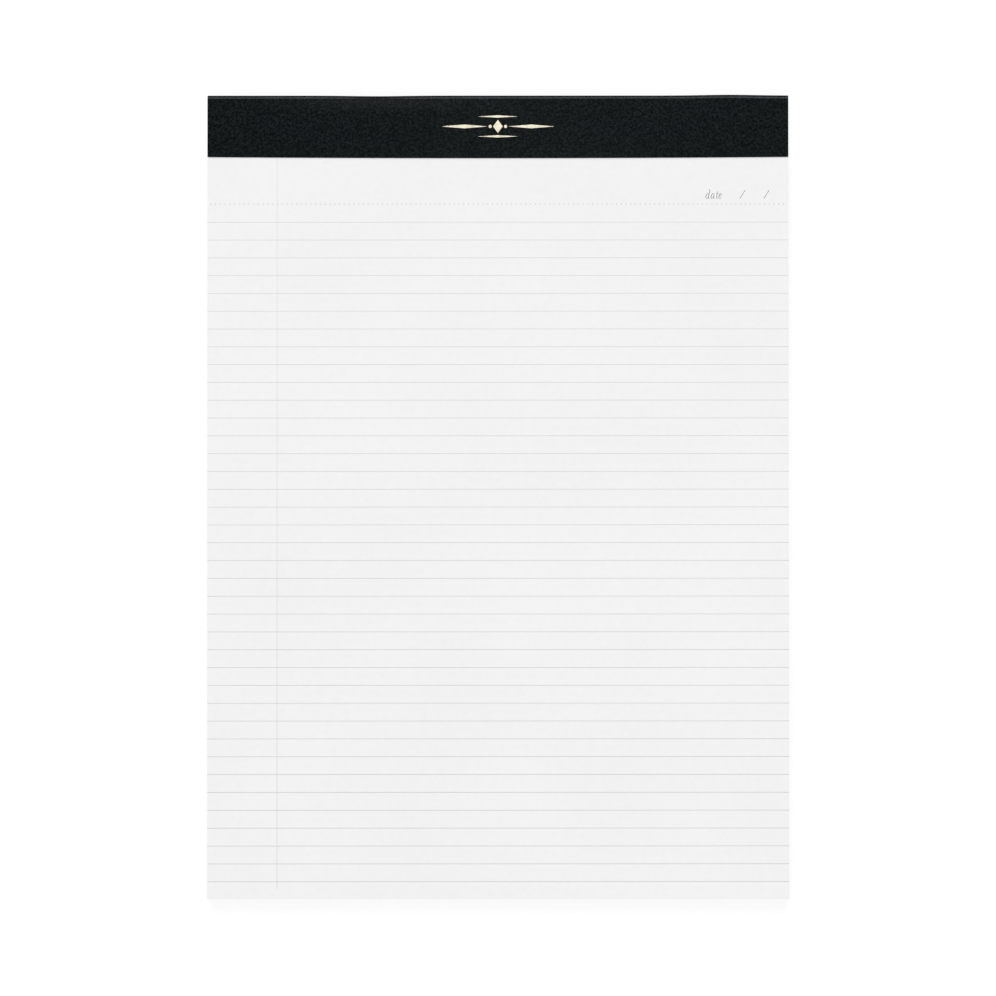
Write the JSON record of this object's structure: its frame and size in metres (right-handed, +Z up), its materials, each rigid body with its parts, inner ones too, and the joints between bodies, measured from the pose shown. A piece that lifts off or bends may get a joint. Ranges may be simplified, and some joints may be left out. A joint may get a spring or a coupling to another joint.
{
  "type": "legal pad",
  "caption": "Letter-size ruled writing pad: trimmed sheets on a chipboard back, stapled at the head under a folded black paper band.",
  "frame": {"origin": "middle of the pad's outline, at the level that it lies on", "axes": "+X to the right across the page, +Y towards the bound head, +Z up out of the page"},
  "size_m": [0.216, 0.2984, 0.007],
  "materials": {
    "writing_paper": "white, smooth and uncoated",
    "chipboard": "bare grey-brown board with flecks",
    "cover_paper": "black, matt, fine grain",
    "steel_wire": "bright drawn wire",
    "grey_ink": "printed on the sheets, matt",
    "gold_foil": "pale gold foil stamped on the band"
  },
  "bodies": {
    "root": {"page_block": "writing_paper", "backing_board": "chipboard", "binding_band": "cover_paper", "staples": "steel_wire"}
  },
  "joints": []
}
